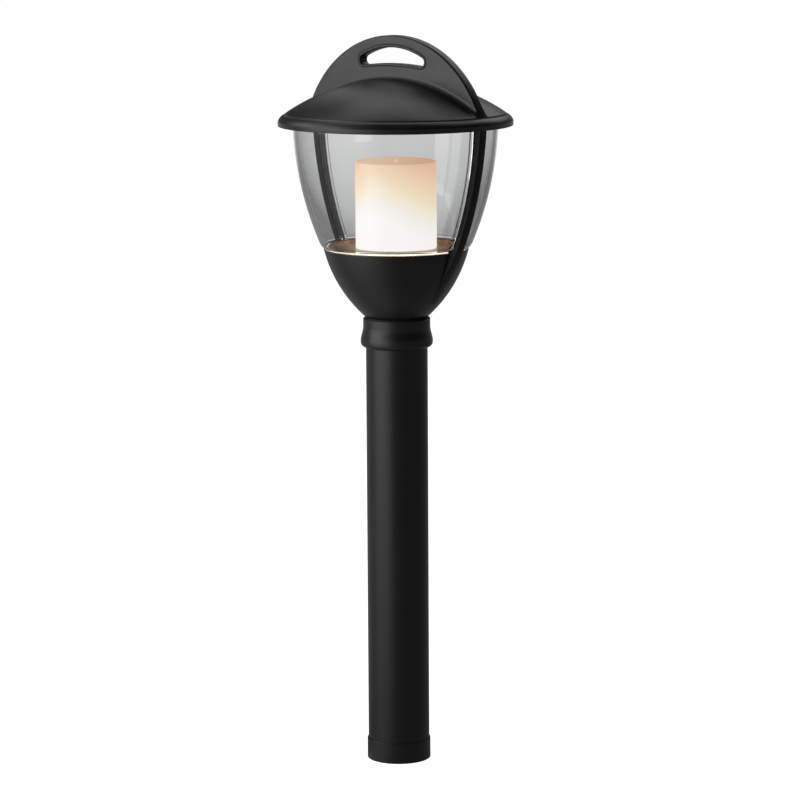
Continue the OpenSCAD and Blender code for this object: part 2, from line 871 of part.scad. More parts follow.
module hat_seal() {
    color(rubber_black)
        rotate_extrude()
            polygon([
                [seal_r[0], seal_z[0]], [seal_r[0] + seal_lip, seal_z[0]],
                [seal_r[0] + seal_lip, seal_z[0] + 1.2], [seal_r[1] - seal_lip, seal_z[0] + 1.2],
                [seal_r[1] - seal_lip, seal_z[0]], [seal_r[1], seal_z[0]],
                [seal_r[1], seal_z[1] - 0.5], [seal_r[1] - 0.5, seal_z[1]],
                [seal_r[0] + 0.5, seal_z[1]], [seal_r[0], seal_z[1] - 0.5]
            ]);
}

module hat_shell() {
    color(body_black)
        difference() {
            union() {
                rotate_extrude($fn = 128)
                    polygon(concat(
                        [[rim_r - rim_wall, rim_z], [rim_r - rim_edge_r, rim_z]],
                        [[rim_r, rim_z + rim_edge_r]],
                        [[rim_r, bead_centre[1] + bead_r * sin(bead_angles[0])]],
                        arc(bead_centre[0], bead_centre[1], bead_r, bead_angles[0], bead_angles[1], 10),
                        [[notch_r[1], notch_z], [notch_r[0], notch_z]],
                        arc(0, dome_centre_z, dome_sphere_r, acos(dome_edge_r / dome_sphere_r), 90, 24),
                        arc(0, dome_centre_z, dome_in_r, 90, acos(dome_in_edge_r / dome_in_r), 24),
                        [[rim_r - rim_wall, rim_in_z]]
                    ));
                around([0, 180])
                    intersection() {
                        translate([arch_screw_at, 0, arch_boss_z])
                            cylinder(r = arch_boss_r, h = 10, $fn = 48);
                        translate([0, 0, dome_centre_z]) sphere(r = dome_in_r + 1);
                    }
            }
            around([0, 180])
                translate([arch_screw_at, 0, arch_boss_z - 1])
                    cylinder(r = arch_screw_r + fit_gap, h = 20, $fn = 48);
        }
}

// Outline of the hand slot, made wider all round by grow
function slot_outline(grow) =
    let (top_c = slot_top_z - slot_top_r)
    let (floor_c = slot_floor_z - slot_floor_r)
    let (to_top = slot_top_r - slot_corner_r)
    let (to_floor = slot_floor_r + slot_corner_r)
    let (corner_z = (top_c + floor_c + (to_floor * to_floor - to_top * to_top) / (top_c - floor_c)) / 2)
    let (corner_x = sqrt(to_top * to_top - (corner_z - top_c) * (corner_z - top_c)))
    let (top_a = atan2(corner_z - top_c, corner_x))
    let (floor_a = atan2(corner_z - floor_c, corner_x))
    concat(
        arc(0, top_c, slot_top_r + grow, top_a, 180 - top_a, 20),
        arc(-corner_x, corner_z, slot_corner_r + grow, 180 - top_a, 360 - floor_a, 10),
        arc(0, floor_c, slot_floor_r - grow, 180 - floor_a, floor_a, 12),
        arc(corner_x, corner_z, slot_corner_r + grow, floor_a - 180, top_a, 10)
    );

// Children, drawn in X and Y, stood up in the XZ plane and extruded evenly to both sides
module upright(t) {
    rotate([90, 0, 0]) translate([0, 0, -t / 2]) linear_extrude(height = t) children();
}

// Concave fillets along both faces of the arch, drawn about the line through the middle of the dome's sphere
module arch_fillets() {
    out_r = dome_sphere_r + arch_fillet_r;
    off = arch_t / 2 + arch_fillet_r;
    rise = sqrt(out_r * out_r - off * off);
    foot_a = atan2(off, rise);
    intersection() {
        translate([0, 0, dome_centre_z])
            rotate([90, 0, 0])
                for (side = [0, 1])
                    mirror([0, 0, side])
                        rotate_extrude($fn = 160)
                            polygon(concat(
                                arc(rise, off, arch_fillet_r, -90, -180 + foot_a, 6),
                                [[dome_sphere_r - 1, off - arch_fillet_r / 2]],
                                [[dome_sphere_r - 1, 0], [rise, 0]]
                            ));
        upright(4 * arch_t) translate([0, arch_z]) circle(r = arch_r - arch_edge_r);
    }
}

module hat_handle() {
    color(body_black)
        difference() {
            union() {
                translate([0, 0, arch_z])
                    rotate([90, 0, 0])
                        rotate_extrude($fn = 160)
                            polygon(concat(
                                [[0, -arch_t / 2]],
                                arc(arch_r - arch_edge_r, -arch_t / 2 + arch_edge_r, arch_edge_r, -90, 0, 6),
                                arc(arch_r - arch_edge_r, arch_t / 2 - arch_edge_r, arch_edge_r, 0, 90, 6),
                                [[0, arch_t / 2]]
                            ));
                upright(arch_t + 2 * lip_t) polygon(slot_outline(lip_w));
                arch_fillets();
            }
            upright(2 * arch_t) polygon(slot_outline(0));
            translate([0, 0, dome_centre_z]) sphere(r = dome_sphere_r, $fn = 160);
            translate([-rim_r, -2 * arch_t, 0]) cube([2 * rim_r, 4 * arch_t, dome_edge_z]);
            around([0, 180])
                translate([arch_screw_at, 0, arch_boss_z])
                    cylinder(r = arch_screw_r + thread_gap, h = arch_screw_in + 4, $fn = 48);
        }
}

module handle_screws() {
    color(steel)
        around([0, 180])
            translate([arch_screw_at, 0, arch_boss_z + arch_screw_in + 3])
                mirror([0, 0, 1]) pan_screw(arch_screw_r, arch_screw_in + 3, arch_head_r, arch_head_h);
}

foot_cap();
foot_screws();
post_tube();
cable_gland();
collar();
collar_screws();
neck_seal();
neck_plug();
lantern_frame();
pane_gasket();
front_pane();
rear_pane();
pane_clamp_ring();
clamp_screws();
lamp_tray();
tray_screws();
lampholder();
lampholder_contacts();
lampholder_screws();
terminal_block();
terminal_screws();
terminal_fixing();
holder_leads();
inner_lead();
lead_socket();
socket_contacts();
lamp_base();
lamp_pins();
lamp_board();
lamp_emitters();
candle_diffuser();
hat_seal();
hat_shell();
hat_handle();
handle_screws();
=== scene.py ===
"""Garden post lantern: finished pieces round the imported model, with materials, in a plain pale studio.
Metres, in the CAD frame: +Z up, origin in the middle of the foot's underside, arch and ribs in XZ."""
import json
import math

import bmesh
import bpy
from mathutils import Matrix, Quaternion, Vector


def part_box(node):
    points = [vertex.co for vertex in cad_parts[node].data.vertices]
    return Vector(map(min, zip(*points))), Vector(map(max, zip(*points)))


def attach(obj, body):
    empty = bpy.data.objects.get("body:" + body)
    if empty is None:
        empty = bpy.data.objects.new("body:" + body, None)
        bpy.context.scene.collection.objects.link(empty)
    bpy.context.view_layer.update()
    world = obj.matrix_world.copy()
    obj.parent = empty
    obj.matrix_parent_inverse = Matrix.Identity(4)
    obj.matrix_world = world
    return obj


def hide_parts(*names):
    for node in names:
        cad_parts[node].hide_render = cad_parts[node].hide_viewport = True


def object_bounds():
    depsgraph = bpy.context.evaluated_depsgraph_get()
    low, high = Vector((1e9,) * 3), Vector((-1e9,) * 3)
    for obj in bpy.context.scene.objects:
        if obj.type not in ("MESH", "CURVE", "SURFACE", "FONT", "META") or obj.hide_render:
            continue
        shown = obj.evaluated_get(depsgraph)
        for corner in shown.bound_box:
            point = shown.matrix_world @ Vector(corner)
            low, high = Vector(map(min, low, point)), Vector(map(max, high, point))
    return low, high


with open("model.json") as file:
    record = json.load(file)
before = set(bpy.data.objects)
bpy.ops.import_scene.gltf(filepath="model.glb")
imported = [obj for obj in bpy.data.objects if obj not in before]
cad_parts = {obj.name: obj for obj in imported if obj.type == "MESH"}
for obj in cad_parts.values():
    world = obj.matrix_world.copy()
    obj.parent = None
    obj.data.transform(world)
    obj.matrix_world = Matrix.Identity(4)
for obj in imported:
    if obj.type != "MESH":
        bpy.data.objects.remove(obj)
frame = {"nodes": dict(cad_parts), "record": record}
cad_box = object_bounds()
NODES = frame["nodes"]

MM = 0.001

# ---------------------------------------------------------------- sizes taken from the frame
overall_h = cad_box[1].z
rim_r = cad_box[1].x
rim_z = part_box("hat_shell")[0].z
dome_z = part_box("hat_shell")[1].z
candle_low, candle_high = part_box("candle_diffuser")
candle_r = candle_high.x
candle_base_z = candle_low.z
candle_top_z = candle_high.z - 1.6 * MM
bowl_rim_z = candle_base_z - 1.2 * MM
spigot_foot_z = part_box("lantern_frame")[0].z
pane_top_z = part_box("front_pane")[1].z
post_top_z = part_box("post_tube")[1].z

# ---------------------------------------------------------------- the arcs that the outlines follow
BOWL_CENTRE = (-44.1 * MM, 405 * MM)
BOWL_R = 99.9 * MM
BOWL_WALL = 2.6 * MM
PANE_CENTRE = (-169.6 * MM, 479.8 * MM)
PANE_R = 244.3 * MM
PANE_WALL = 3 * MM
TRAY_R = 49 * MM
pane_foot_z = bowl_rim_z + 0.3 * MM
pane_curl_z = bowl_rim_z + 3.9 * MM
DOME_R = 142 * MM
DOME_WALL = 2.6 * MM
DOME_EDGE_R = 79.8 * MM
BEAD_CENTRE = (77.85 * MM, 471.2 * MM)
BEAD_R = 7.7 * MM
ARCH_R = 85.2 * MM
ARCH_T = 8.5 * MM
ARCH_EDGE_R = 1.6 * MM
FILLET_R = 4 * MM

TURN = 2 * math.pi
SIDES = 192
WELD = 1e-6
TINY = 1e-9
NEARLY_STRAIGHT = math.radians(86)


# ---------------------------------------------------------------- outlines
def on_arc(centre, radius, degrees):
    """The point of an arc at an angle."""
    angle = math.radians(degrees)
    return centre[0] + radius * math.cos(angle), centre[1] + radius * math.sin(angle)


def arc(centre, radius, start, end, count):
    """Points of an arc, with its angles in degrees."""
    return [on_arc(centre, radius, start + (end - start) * i / count) for i in range(count + 1)]


def arc_between(centre, radius, low, high, count):
    """The outer side of an arc, between two heights."""
    start = math.degrees(math.asin((low - centre[1]) / radius))
    end = math.degrees(math.asin((high - centre[1]) / radius))
    return arc(centre, radius, start, end, count)


def arc_radius_at(centre, radius, height):
    """How far out the outer side of an arc is at a height."""
    return centre[0] + math.sqrt(radius ** 2 - (height - centre[1]) ** 2)


def cubic(p, q, r, s, count):
    """Points of a cubic curve with end points p, s and handles q, r."""
    points = []
    for i in range(count + 1):
        t = i / count
        weights = ((1 - t) ** 3, 3 * (1 - t) ** 2 * t, 3 * (1 - t) * t ** 2, t ** 3)
        points.append(tuple(sum(w * k[axis] for w, k in zip(weights, (p, q, r, s))) for axis in (0, 1)))
    return points


def softened(corners, steps=5):
    """A closed outline from (r, z, radius) corners, with each corner rounded to its radius."""
    points = []
    for i, (r, z, radius) in enumerate(corners):
        here = Vector((r, z))
        before = Vector(corners[i - 1][:2]) - here
        after = Vector(corners[(i + 1) % len(corners)][:2]) - here
        if radius <= 0 or before.length < TINY or after.length < TINY:
            points.append((r, z))
            continue
        half = before.angle(after) / 2
        if half > NEARLY_STRAIGHT:
            points.append((r, z))
            continue
        reach = min(radius / math.tan(half), before.length * 0.48, after.length * 0.48)
        start = here + before.normalized() * reach
        end = here + after.normalized() * reach
        for k in range(steps + 1):
            t = k / steps
            points.append(tuple((1 - t) ** 2 * start + 2 * (1 - t) * t * here + t ** 2 * end))
    return points


# ---------------------------------------------------------------- meshes
def finish_mesh(name, bm, sharp=32):
    """A smooth-shaded object from a bmesh, with edges over the sharp angle kept crisp."""
    bmesh.ops.remove_doubles(bm, verts=bm.verts, dist=WELD)
    bmesh.ops.recalc_face_normals(bm, faces=bm.faces)
    for face in bm.faces:
        face.smooth = True
    for edge in bm.edges:
        if len(edge.link_faces) == 2 and edge.calc_face_angle() > math.radians(sharp):
            edge.smooth = False
    mesh = bpy.data.meshes.new(name)
    bm.to_mesh(mesh)
    bm.free()
    piece = bpy.data.objects.new(name, mesh)
    bpy.context.scene.collection.objects.link(piece)
    return piece


def lathe(name, outline, sides=SIDES, start=0.0, sweep=TURN, sharp=32):
    """A closed outline of (r, z) points turned round Z. A sweep under a full turn gets flat ends."""
    bm = bmesh.new()
    whole = abs(sweep - TURN) < TINY
    stations = sides if whole else sides + 1
    rings = []
    for i in range(stations):
        angle = start + sweep * i / sides
        ring = []
        for r, z in outline:
            ring.append(bm.verts.new((r * math.cos(angle), r * math.sin(angle), z)))
        rings.append(ring)
    count = len(outline)
    for i in range(sides):
        here, there = rings[i], rings[(i + 1) % stations]
        for k in range(count):
            n = (k + 1) % count
            if outline[k][0] < TINY and outline[n][0] < TINY:
                continue
            bm.faces.new((here[k], there[k], there[n], here[n]))
    if not whole:
        bm.faces.new(rings[0])
        bm.faces.new(list(reversed(rings[-1])))
    bmesh.ops.remove_doubles(bm, verts=bm.verts, dist=WELD / 10)
    bmesh.ops.dissolve_degenerate(bm, dist=WELD / 100, edges=bm.edges)
    return finish_mesh(name, bm, sharp)


def loft(name, sections, sharp=40):
    """A skin over a row of closed sections with equal numbers of points, capped at both ends."""
    bm = bmesh.new()
    rows = [[bm.verts.new(p) for p in section] for section in sections]
    count = len(rows[0])
    for here, there in zip(rows, rows[1:]):
        for k in range(count):
            n = (k + 1) % count
            bm.faces.new((here[k], here[n], there[n], there[k]))
    bm.faces.new(list(reversed(rows[0])))
    bm.faces.new(rows[-1])
    return finish_mesh(name, bm, sharp)


def plate(name, outlines, thickness, edge, sharp=32):
    """A flat plate in the XZ plane, centred on Y, with rounded edges, from closed (x, z) outlines."""
    data = bpy.data.curves.new(name, "CURVE")
    data.dimensions = "2D"
    data.fill_mode = "BOTH"
    data.extrude = thickness / 2 - edge
    data.bevel_depth = edge
    data.bevel_resolution = 4
    data.offset = -edge
    for outline in outlines:
        spline = data.splines.new("POLY")
        spline.points.add(len(outline) - 1)
        for point, (x, z) in zip(spline.points, outline):
            point.co = (x, z, 0, 1)
        spline.use_cyclic_u = True
    holder = bpy.data.objects.new(name + "_outline", data)
    bpy.context.scene.collection.objects.link(holder)
    bpy.context.view_layer.update()
    mesh = bpy.data.meshes.new_from_object(holder.evaluated_get(bpy.context.evaluated_depsgraph_get()))
    bpy.data.objects.remove(holder)
    bm = bmesh.new()
    bm.from_mesh(mesh)
    bpy.data.meshes.remove(mesh)
    for vert in bm.verts:
        x, z, y = vert.co
        vert.co = (x, -y, z)
    return finish_mesh(name, bm, sharp)


def place(piece, body, slot, material, *replaced):
    """Rides a piece on its body, gives it its material and hides the CAD nodes it stands for. The slot is not
    used.
    """
    piece.data.materials.clear()
    piece.data.materials.append(material)
    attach(piece, body)
    if replaced:
        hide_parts(*replaced)


# ---------------------------------------------------------------- the photograph's point of view
PHOTO_AZIMUTH = 39.5
PHOTO_PITCH = 9.3


def toward(azimuth, elevation):
    """A direction, given in degrees to the right of the photograph's camera and above the horizon."""
    a = math.radians(PHOTO_AZIMUTH + azimuth)
    e = math.radians(elevation)
    return Vector((math.sin(a) * math.cos(e), -math.cos(a) * math.cos(e), math.sin(e)))


# ---------------------------------------------------------------- materials
class Nodes:
    """A material being made: its node tree, its Principled shader and short calls for the usual nodes."""

    def __init__(self, name):
        self.material = bpy.data.materials.new(name)
        self.material.use_nodes = True
        self.tree = self.material.node_tree
        self.tree.nodes.clear()
        self.output = self.add("ShaderNodeOutputMaterial")
        self.shader = self.add("ShaderNodeBsdfPrincipled")
        self.link(self.shader.outputs[0], self.output.inputs["Surface"])
        self.place = self.add("ShaderNodeTexCoord").outputs["Object"]

    def add(self, kind, **inputs):
        """A new node, with values for its inputs."""
        node = self.tree.nodes.new(kind)
        for key, value in inputs.items():
            node.inputs[key.replace("_", " ")].default_value = value
        return node

    def link(self, source, target):
        self.tree.links.new(source, target)

    def noise(self, scale, detail, roughness=0.55, stretch=None):
        """Noise fixed to the object, from 0 to 1, drawn out or packed along its axes by stretch."""
        node = self.add("ShaderNodeTexNoise", Scale=scale, Detail=detail, Roughness=roughness)
        source = self.place
        if stretch:
            mapping = self.add("ShaderNodeMapping", Scale=stretch)
            self.link(source, mapping.inputs["Vector"])
            source = mapping.outputs[0]
        self.link(source, node.inputs["Vector"])
        return node.outputs["Fac"]

    def cells(self, scale):
        """Distance to the nearest of scattered points."""
        node = self.add("ShaderNodeTexVoronoi", Scale=scale)
        self.link(self.place, node.inputs["Vector"])
        return node.outputs["Distance"]

    def ramp(self, source, *stops):
        """Colours at their positions from 0 to 1. A new ramp has two stops already."""
        node = self.add("ShaderNodeValToRGB")
        elements = node.color_ramp.elements
        for i, (position, colour) in enumerate(stops):
            element = elements[i] if i < 2 else elements.new(position)
            element.position = position
            element.color = (*colour, 1.0)
        self.link(source, node.inputs["Fac"])
        return node.outputs["Color"]

    def span(self, source, low, high, from_low=0.0, from_high=1.0):
        """A value from low to high as the source goes from from_low to from_high, and no further."""
        node = self.add("ShaderNodeMapRange", From_Min=from_low, From_Max=from_high, To_Min=low, To_Max=high)
        self.link(source, node.inputs["Value"])
        return node.outputs["Result"]

    def math(self, operation, first, second):
        node = self.add("ShaderNodeMath")
        node.operation = operation
        self.link(first, node.inputs[0])
        self.link(second, node.inputs[1])
        return node.outputs[0]

    def sum(self, first, second):
        return self.math("ADD", first, second)

    def product(self, first, second):
        return self.math("MULTIPLY", first, second)

    def vector(self, operation, source, other=None):
        """A vector node's outcome for the source and a constant."""
        node = self.add("ShaderNodeVectorMath")
        node.operation = operation
        self.link(source, node.inputs[0])
        if other is not None:
            node.inputs[1].default_value = other
        return node.outputs["Value" if operation in ("LENGTH", "DOT_PRODUCT") else "Vector"]

    def upward(self, source):
        """The Z of a place or a direction."""
        node = self.add("ShaderNodeSeparateXYZ")
        self.link(source, node.inputs[0])
        return node.outputs["Z"]

    def bump(self, source, strength, distance):
        node = self.add("ShaderNodeBump", Strength=strength, Distance=distance)
        self.link(source, node.inputs["Height"])
        return node.outputs["Normal"]

    def set(self, **sockets):
        """Gives the shader's sockets a value or a link."""
        for key, value in sockets.items():
            socket = self.shader.inputs[key.replace("_", " ")]
            if isinstance(value, bpy.types.NodeSocket):
                self.link(value, socket)
            else:
                socket.default_value = value


def shades(base, spread):
    """The darker and the lighter neighbour of a colour."""
    return [tuple(min(1.0, c * k) for c in base) for k in (1 - spread, 1 + spread)]


def greys(*stops):
    """Stops of a ramp in grey, from pairs of position and level."""
    return [(position, (level, level, level)) for position, level in stops]


NEAR_BLACK = (0.0078, 0.0080, 0.0078)
PLASTIC_IOR = 1.49


def moulded_black(name, rough, grain_scale, grain, specular=0.5):
    """Satin near-black with fine grain: moulded plastic, or powder coat with a finer and softer grain."""
    n = Nodes(name)
    dark, light = shades(NEAR_BLACK, 0.18)
    cloud = n.noise(38, 4)
    fine = n.noise(grain_scale, 2, 0.6)
    n.set(Base_Color=n.ramp(cloud, (0.35, dark), (0.7, light)))
    n.set(Roughness=n.span(cloud, rough - 0.035, rough + 0.035, 0.3, 0.7))
    n.set(Normal=n.bump(fine, grain, 0.05 * MM), Specular_IOR_Level=specular)
    return n.material


def smoked_pane(name):
    """Clear moulded pane with a faint grey tint through its thickness."""
    n = Nodes(name)
    haze = n.noise(30, 3)
    n.set(Base_Color=(1, 1, 1, 1), Transmission_Weight=1.0, IOR=PLASTIC_IOR)
    n.set(Roughness=n.span(haze, 0.0, 0.02, 0.35, 0.75))
    n.set(Normal=n.bump(n.noise(16, 1), 0.12, 0.4 * MM))
    tint = n.add("ShaderNodeVolumeAbsorption", Color=(0.62, 0.63, 0.63, 1), Density=205.0)
    n.link(tint.outputs[0], n.output.inputs["Volume"])
    return n.material


def frosted_edge_painted_glow(name):
    """A pane's frosted edge with a painted warm glow in patches, which stands in for the candle's light
    carried along the pane and is strongest where the edge faces the view.
    """
    n = Nodes(name)
    n.set(Base_Color=n.ramp(n.noise(180, 3), (0.3, (0.80, 0.72, 0.62)), (0.7, (0.92, 0.86, 0.78))))
    n.set(Transmission_Weight=0.6, IOR=PLASTIC_IOR, Roughness=n.span(n.noise(300, 2), 0.35, 0.5))
    n.set(Emission_Color=n.ramp(n.noise(22, 2), (0.3, (1.0, 0.80, 0.55)), (0.7, (1.0, 0.90, 0.72))))
    # painted glow: emission on the pane's edge, which is no lamp, in patches and strongest where the edge
    # faces the view
    facing = n.add("ShaderNodeLayerWeight", Blend=0.5).outputs["Facing"]
    patchy_glow = n.span(n.noise(35, 3), 0.75, 1.15, 0.3, 0.7)
    n.set(Emission_Strength=n.product(patchy_glow, n.span(facing, 2.0, 0.25, 0.10, 0.30)))
    return n.material


def lit_wax(name):
    """The candle: like wax lit from inside, white low down and peach higher up, with painted light across it,
    whiter on the left part and peachier toward the right.
    """
    n = Nodes(name)
    share = n.span(n.upward(n.place), 0.0, 1.0, candle_base_z, candle_high.z)
    across = n.span(n.vector("DOT_PRODUCT", n.place, toward(90, 0)), 0.0, 1.0, -candle_r, candle_r)
    # painted light: a colour shift across the candle, whiter on the left part, where the key lights stand,
    # and peachier toward the right
    painted_side_light = n.ramp(across, *greys(
        (0.0, 0.30), (0.05, 0.24), (0.18, 0.09), (0.35, 0.13), (0.5, 0.20), (0.93, 0.37), (1.0, 0.42)
    ))
    wander = n.span(n.noise(26, 2), -0.03, 0.03, 0.3, 0.7)
    drift = n.span(n.sum(share, n.sum(painted_side_light, wander)), 0.0, 1.0, 0.1, 1.3)
    glow = n.ramp(
        drift,
        (0.0, (1.0, 1.0, 1.0)),
        (0.30, (1.0, 0.99, 0.96)),
        (0.417, (0.97, 0.945, 0.90)),
        (0.492, (0.96, 0.91, 0.815)),
        (0.567, (0.955, 0.865, 0.71)),
        (0.642, (0.93, 0.80, 0.585)),
        (0.717, (0.92, 0.73, 0.52)),
        (0.867, (0.88, 0.63, 0.445)),
        (1.0, (0.82, 0.51, 0.345)),
    )
    level = n.span(n.upward(n.add("ShaderNodeNewGeometry").outputs["Normal"]), 1.22, 0.95, 0.45, 0.9)
    n.set(Base_Color=n.ramp(n.noise(55, 4), (0.3, (0.13, 0.10, 0.08)), (0.7, (0.16, 0.12, 0.10))))
    n.set(Roughness=n.span(n.noise(90, 3), 0.38, 0.52), Emission_Color=glow)
    n.set(Emission_Strength=level, Normal=n.bump(n.noise(140, 3), 0.25, 0.2 * MM))
    return n.material


def warm_reflector(name):
    """Satin warm paint on the lamp tray, with painted shade that darkens it toward its edge, where less of
    the candle's light falls.
    """
    n = Nodes(name)
    reach = n.vector("LENGTH", n.vector("MULTIPLY", n.place, (1, 1, 0)))
    # painted shade: darker with distance from the candle, with random blotches added on top
    away = n.span(reach, 0.0, 1.0, candle_r, TRAY_R)
    painted_shade_and_blotch = n.sum(away, n.span(n.noise(120, 3), -0.15, 0.15, 0.35, 0.65))
    tone = n.ramp(painted_shade_and_blotch, (0.0, (0.85, 0.46, 0.23)), (0.6, (0.68, 0.37, 0.19)), (0.95, (0.24, 0.14, 0.09)))
    n.set(Base_Color=tone, Metallic=0.2)
    n.set(Roughness=n.span(n.noise(60, 3), 0.26, 0.36), Normal=n.bump(n.noise(1500, 2), 0.12, 0.03 * MM))
    return n.material


def soft_rubber(name, base):
    """Matt moulded rubber."""
    n = Nodes(name)
    dark, light = shades(base, 0.2)
    n.set(Base_Color=n.ramp(n.noise(80, 3), (0.35, dark), (0.65, light)))
    n.set(Roughness=n.span(n.noise(200, 3), 0.62, 0.8), Normal=n.bump(n.noise(2400, 2), 0.3, 0.04 * MM))
    return n.material


def plain_metal(name, base, rough):
    """Turned or stamped metal with fine scratches."""
    n = Nodes(name)
    dark, light = shades(base, 0.08)
    scratches = n.noise(900, 2, 0.7, (1, 1, 12))
    n.set(Base_Color=n.ramp(n.noise(220, 3), (0.35, dark), (0.65, light)), Metallic=1.0)
    n.set(Roughness=n.span(scratches, rough - 0.06, rough + 0.08), Normal=n.bump(scratches, 0.1, 0.02 * MM))
    return n.material


def pale_solid(name, base, rough, grain):
    """Unglazed ceramic or white moulded plastic."""
    n = Nodes(name)
    dark, light = shades(base, 0.05)
    n.set(Base_Color=n.ramp(n.noise(150, 4), (0.35, dark), (0.65, light)))
    n.set(Roughness=n.span(n.noise(260, 3), rough - 0.05, rough + 0.05))
    n.set(Normal=n.bump(n.noise(1800, 2), grain, 0.05 * MM))
    return n.material


def phosphor(name):
    """The glowing yellow face of a lamp's emitter."""
    n = Nodes(name)
    n.set(Base_Color=n.ramp(n.cells(1500), (0.0, (0.95, 0.72, 0.2)), (0.8, (1.0, 0.86, 0.45))))
    n.set(Roughness=0.4, Emission_Color=(1.0, 0.72, 0.4, 1), Emission_Strength=4.0)
    return n.material


HOUSING = moulded_black("moulded_black", 0.38, 2600, 0.35)
POST = moulded_black("powder_black", 0.38, 3200, 0.3)
RIB = moulded_black("rib_black", 0.46, 2600, 0.35, 0.25)
PANE = smoked_pane("smoked_pane")
PANE_EDGE_GLOW = frosted_edge_painted_glow("frosted_edge_painted_glow")
WAX = lit_wax("lit_wax")
TRAY = warm_reflector("warm_reflector")
RUBBER = soft_rubber("soft_rubber", (0.02, 0.02, 0.02))
SHEATH = soft_rubber("cable_sheath", (0.03, 0.03, 0.032))
STEEL = plain_metal("stainless", (0.55, 0.56, 0.57), 0.3)
BRASS = plain_metal("contact_brass", (0.72, 0.55, 0.26), 0.28)
CERAMIC = pale_solid("unglazed_ceramic", (0.82, 0.80, 0.75), 0.6, 0.3)
WHITE = pale_solid("white_plastic", (0.85, 0.85, 0.83), 0.35, 0.12)
EMITTER = phosphor("phosphor")

BY_SLOT = {
    "black_housing": HOUSING,
    "black_post": POST,
    "clear_pane": PANE,
    "candle_wax": WAX,
    "reflector": TRAY,
    "rubber": RUBBER,
    "cable_sheath": SHEATH,
    "screw_steel": STEEL,
    "contact_brass": BRASS,
    "ceramic": CERAMIC,
    "lamp_white": WHITE,
    "emitter": EMITTER,
}


def paint_cad_nodes():
    """Every CAD node takes the material of its slot in the record."""
    for part in frame["record"]["subparts"]:
        data = NODES[part["node"]].data
        data.materials.clear()
        data.materials.append(BY_SLOT[part["material_slot"]])


# ---------------------------------------------------------------- hat
dome_centre = (0.0, dome_z - DOME_R)


def make_hat():
    """The dome with its rim band, its bead and the notch above that, and the arch's two screw bosses."""
    edge_angle = math.degrees(math.acos(DOME_EDGE_R / DOME_R))
    in_r, in_edge_r = DOME_R - DOME_WALL, 78.4 * MM
    in_edge = math.degrees(math.acos(in_edge_r / in_r))
    rim_in = rim_r - 2.2 * MM
    band_top = BEAD_CENTRE[1] + BEAD_R * math.sin(math.radians(18))
    bead_start, bead_end = 30, 62
    notch_z = 477.6 * MM
    outline = softened([(rim_in, rim_z, 0.3 * MM), (rim_r, rim_z, 0.5 * MM), (rim_r, rim_z + 3 * MM, 0)])[:-1]
    outline += softened([
        (rim_r, rim_z + 2 * MM, 0),
        (rim_r, band_top, 0.5 * MM),
        (*on_arc(BEAD_CENTRE, BEAD_R, bead_start), 0),
    ])[1:-1]
    outline += arc(BEAD_CENTRE, BEAD_R, bead_start, bead_end, 12)
    outline += softened([
        (*on_arc(BEAD_CENTRE, BEAD_R, bead_end - 2), 0),
        (80.75 * MM, 478.32 * MM, 0.35 * MM),
        (80.35 * MM, notch_z, 0.2 * MM),
        (79.85 * MM, notch_z, 0.2 * MM),
        (DOME_EDGE_R + 0.02 * MM, 479.1 * MM, 0.45 * MM),
        (*on_arc(dome_centre, DOME_R, edge_angle + 1.5), 0),
    ])[1:-1]
    outline += arc(dome_centre, DOME_R, edge_angle + 0.9, 90, 44)
    outline += arc(dome_centre, in_r, 90, in_edge, 32)
    outline += [(rim_in, rim_z + 4 * MM)]
    dome = lathe("hat_dome", outline, sides=224, sharp=40)
    place(dome, "hat", "black_housing", HOUSING, "hat_shell")

    boss_at, boss_z = 60 * MM, 484.5 * MM
    bore_r, boss_r = 1.6 * MM, 4.2 * MM
    boss_top = dome_centre[1] + math.sqrt((in_r + 1 * MM) ** 2 - boss_at ** 2)
    for side, x in (("left", -boss_at), ("right", boss_at)):
        ring = softened([
            (bore_r, boss_z, 0.1 * MM), (boss_r, boss_z, 0.4 * MM),
            (boss_r + 0.4 * MM, boss_top - 1.6 * MM, 0), (bore_r, boss_top - 1.2 * MM, 0),
        ])
        boss = lathe("hat_boss_" + side, ring, 48)
        boss.data.transform(Matrix.Translation((x, 0, 0)))
        place(boss, "hat", "black_housing", HOUSING, "hat_shell")


def slot_outline(grow):
    """Outline of the hand slot in (x, z), made wider all round by grow."""
    top_r, floor_r, corner_r = 60 * MM, 216 * MM, 3.3 * MM
    top_down, floor_down = 8.7 * MM, 20.2 * MM
    top_c = overall_h - top_down - top_r
    floor_c = overall_h - floor_down - floor_r
    to_top, to_floor = top_r - corner_r, floor_r + corner_r
    corner_z = (top_c + floor_c + (to_floor ** 2 - to_top ** 2) / (top_c - floor_c)) / 2
    corner_x = math.sqrt(to_top ** 2 - (corner_z - top_c) ** 2)
    top_a = math.degrees(math.atan2(corner_z - top_c, corner_x))
    floor_a = math.degrees(math.atan2(corner_z - floor_c, corner_x))
    outline = arc((0, top_c), top_r + grow, top_a, 180 - top_a, 40)[:-1]
    outline += arc((-corner_x, corner_z), corner_r + grow, 180 - top_a, 360 - floor_a, 16)[:-1]
    outline += arc((0, floor_c), floor_r - grow, 180 - floor_a, floor_a, 30)[:-1]
    outline += arc((corner_x, corner_z), corner_r + grow, floor_a - 180, top_a, 16)[:-1]
    return outline


